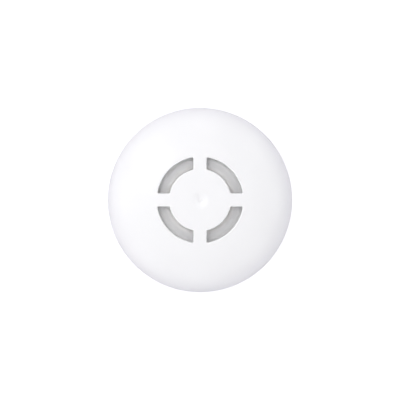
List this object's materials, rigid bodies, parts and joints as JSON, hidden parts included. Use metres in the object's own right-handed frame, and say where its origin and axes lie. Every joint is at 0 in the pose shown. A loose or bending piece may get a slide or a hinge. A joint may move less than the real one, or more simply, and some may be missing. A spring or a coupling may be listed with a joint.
{
  "type": "smoke detector",
  "caption": "Compact battery smoke detector with a smooth domed cover, arc slots, a ring vent and a twist-off mounting plate.",
  "frame": {"origin": "centre of the mounting plate's back face", "axes": "+Z out of the wall or ceiling, through the crown of the cover; +X along the row of the two fixing slots"},
  "size_m": [0.065, 0.065, 0.028],
  "materials": {
    "white_shell": "fine satin, white",
    "white_plate": "matt, white",
    "natural_frame": "matt, natural",
    "diffuser": "frosted, milky",
    "chamber_black": "dead matt, black",
    "board_green": "solder mask, green",
    "component_black": "moulded epoxy",
    "component_grey": "moulded nylon",
    "thermistor_bead": "dipped epoxy",
    "clear_lens": "clear epoxy",
    "dark_lens": "dark infrared filter epoxy",
    "lamp_white": "white package, phosphor dome",
    "stainless_mesh": "etched stainless sheet",
    "tinned_steel": "tinned",
    "nickel_strip": "nickel plated",
    "spring_steel": "drawn wire",
    "screw_steel": "zinc plated",
    "disc_brass": "rolled sheet",
    "piezo_white": "silvered ceramic",
    "contact_gold": "gold flashed wire",
    "copper_wire": "enamelled copper",
    "capacitor_can": "drawn can",
    "ferrite": "sintered ferrite",
    "cell_steel": "nickel plated can",
    "cell_sleeve": "heat-shrink film"
  },
  "bodies": {
    "mount": {"mounting_plate": "white_plate"},
    "head": {"rear_housing": "white_shell", "circuit_board": "board_green", "sounder_housing": "natural_frame", "piezo_plate": "disc_brass", "piezo_ceramic": "piezo_white", "sounder_contacts": "contact_gold", "light_ring": "diffuser", "status_leds": "lamp_white", "chamber_base": "chamber_black", "chamber_cap": "chamber_black", "insect_screen": "stainless_mesh", "infrared_emitter": "clear_lens", "photodiode": "dark_lens", "photodiode_shield": "tinned_steel", "battery_can": "cell_steel", "battery_sleeve": "cell_sleeve", "positive_contact": "nickel_strip", "negative_contact": "nickel_strip", "negative_spring": "spring_steel", "microcontroller": "component_black", "radio_module": "tinned_steel", "antenna_coil": "copper_wire", "capacitor": "capacitor_can", "inductor": "ferrite", "thermistor": "thermistor_bead", "test_switch": "component_grey", "tamper_switch": "component_grey", "return_springs": "spring_steel", "housing_screws": "screw_steel"},
    "cover": {"front_cover": "white_shell"},
    "test_stem": {"test_switch_stem": "component_black"},
    "tamper_pin": {"tamper_switch_stem": "component_black", "tamper_plunger": "natural_frame"}
  },
  "joints": [
    {"name": "head_twist", "type": "hinge", "parent": "mount", "child": "head", "pos_m": [0, 0, 0], "axis": [0, 0, 1], "range_deg": [0, 20]},
    {"name": "cover_press", "type": "slide", "parent": "head", "child": "cover", "axis": [0, 0, -1], "range_m": [0, 0.0006], "stiffness_N_per_m": 4000, "springref_m": -0.002, "deforming": ["return_springs"]},
    {"name": "test_stem_travel", "type": "slide", "parent": "head", "child": "test_stem", "axis": [0, 0, -1], "range_m": [0, 0.0006]},
    {"name": "tamper_pin_travel", "type": "slide", "parent": "head", "child": "tamper_pin", "axis": [0, 0, -1], "range_m": [0, 0.0009]}
  ],
  "couplings": [
    {"joint": "test_stem_travel", "follows": "cover_press", "ratio": 1},
    {"joint": "tamper_pin_travel", "follows": "head_twist", "m_per_rad": 0.002578}
  ]
}
